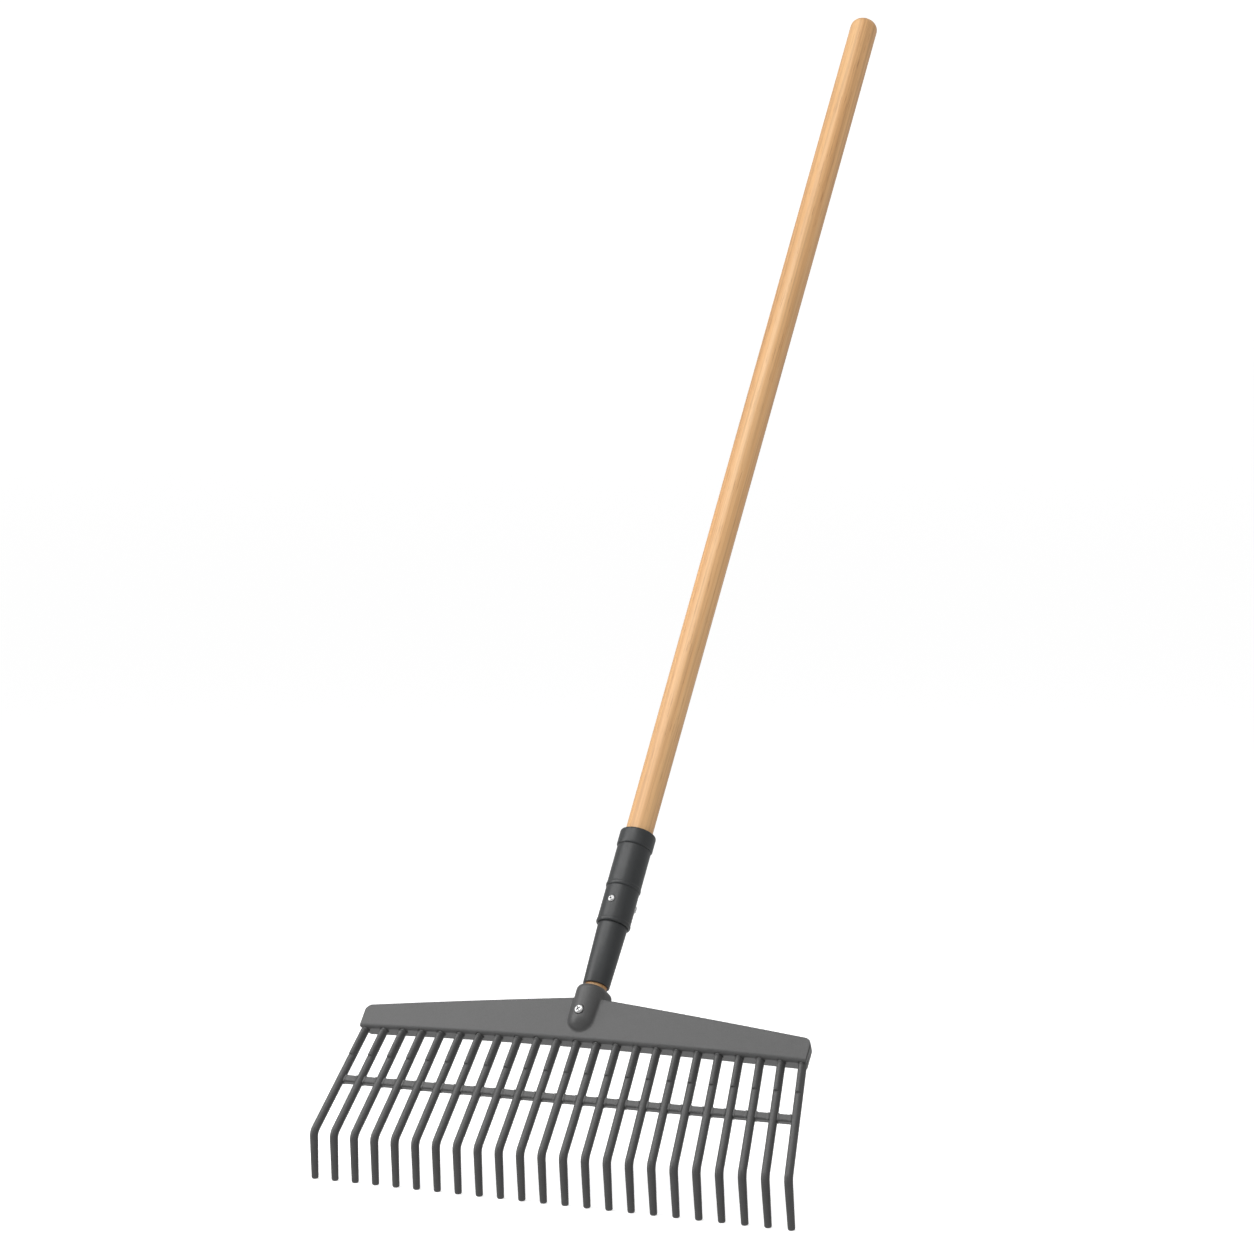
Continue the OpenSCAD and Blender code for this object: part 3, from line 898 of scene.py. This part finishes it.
def build_world():
    """An even grey surround that brightens straight below, where a white floor would send light back up."""
    world = bpy.data.worlds.new("studio")
    world.use_nodes = True
    tree = world.node_tree
    background = tree.nodes["Background"]
    direction = tree.nodes.new("ShaderNodeTexCoord")
    split = tree.nodes.new("ShaderNodeSeparateXYZ")
    strength = tree.nodes.new("ShaderNodeMapRange")
    strength.interpolation_type = "SMOOTHSTEP"
    for key, value in (("From Min", -0.2), ("From Max", -0.7), ("To Min", AMBIENT), ("To Max", FLOOR_BOUNCE)):
        strength.inputs[key].default_value = value
    tree.links.new(direction.outputs["Generated"], split.inputs["Vector"])
    tree.links.new(split.outputs["Z"], strength.inputs["Value"])
    tree.links.new(strength.outputs["Result"], background.inputs["Strength"])
    background.inputs["Color"].default_value = (1, 1, 1, 1)
    bpy.context.scene.world = world


def build_backdrop():
    """A white sweep: a floor and a round wall with one glowing material, so that no line shows where they meet.
    Only the camera sees it, so the object is lit by the lights and the surround alone."""
    profile = [(0, 0), (SWEEP_R - SWEEP_BEND, 0)]
    for a in np.linspace(0, math.pi / 2, 12)[1:]:
        profile.append((SWEEP_R - SWEEP_BEND + SWEEP_BEND * math.sin(a), SWEEP_BEND * (1 - math.cos(a))))
    profile.append((SWEEP_R, SWEEP_R))
    segments = 64
    points = [(0, 0, 0)]
    for r, h in profile[1:]:
        turns = [2 * math.pi * k / segments for k in range(segments)]
        points += [(r * math.cos(a), r * math.sin(a), h) for a in turns]
    faces = [(0, 1 + k, 1 + (k + 1) % segments) for k in range(segments)]
    for n in range(len(profile) - 2):
        for k in range(segments):
            a, b = 1 + n * segments + k, 1 + n * segments + (k + 1) % segments
            faces.append((b, a, a + segments, b + segments))
    mesh = bpy.data.meshes.new("sweep")
    mesh.from_pydata(points, [], faces)
    mesh.shade_smooth()
    sweep = bpy.data.objects.new("sweep", mesh)
    bpy.context.scene.collection.objects.link(sweep)
    m = Nodes("white_sweep")
    m.set(Base_Color=(0.8, 0.8, 0.8, 1), Roughness=1.0, Specular_IOR_Level=0.0)
    m.set(Emission_Color=(1, 1, 1, 1), Emission_Strength=SWEEP_GLOW)
    mesh.materials.append(m.material)
    sweep.visible_diffuse = sweep.visible_glossy = sweep.visible_shadow = False


def soft_box(name, azimuth, elevation, distance, size, radiance):
    """A soft box at an azimuth from the object's front, positive towards +X, and an elevation, both in degrees.
    size is its (width, height)."""
    data = bpy.data.lights.new(name, "AREA")
    data.shape = "RECTANGLE"
    data.size, data.size_y = size
    data.energy = radiance * math.pi * size[0] * size[1]
    light = bpy.data.objects.new(name, data)
    bpy.context.scene.collection.objects.link(light)
    a, e = math.radians(azimuth), math.radians(elevation)
    out = Vector((math.sin(a) * math.cos(e), -math.cos(a) * math.cos(e), math.sin(e)))
    light.location = Vector(LIT_CENTRE) + out * distance
    light.visible_camera = False
    light.rotation_euler = out.to_track_quat("Z", "Y").to_euler()


def build_stage():
    build_camera()
    build_world()
    build_backdrop()
    soft_box("key", -12, 61, 5.2, (2.7, 2.7), 3.7)
    soft_box("side", -54, 26, 2.2, (1.3, 2.6), 3.1)
    soft_box("fill", 40, 35, 4.0, (3.0, 3.0), 0.6)
    bpy.context.scene.view_settings.view_transform = "Standard"


# ---------------------------------------------------------------- build

build_stage()
grey_plastic, black_plastic, wood, plate = head_plastic(), ferrule_plastic(), turned_wood(), zinc()

HEAD_CELL, BAR_CELL = ((0.9, 0.6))      # the surface nets' grids
beam = moulded("moulded_head", head_field, (-22, -6), (262, 32, 71), HEAD_CELL)
finish_piece(beam, "head_beam", grey_plastic)
bar = moulded("comb_bar", bar_field, (-4, -65), (266, 9, -51), BAR_CELL)
finish_piece(bar, "cross_bar", grey_plastic)
for tine in range(1, TINES + 1):
    build_tine(tine, grey_plastic)
build_handle(wood)
build_ferrule(black_plastic)
build_screws(plate)
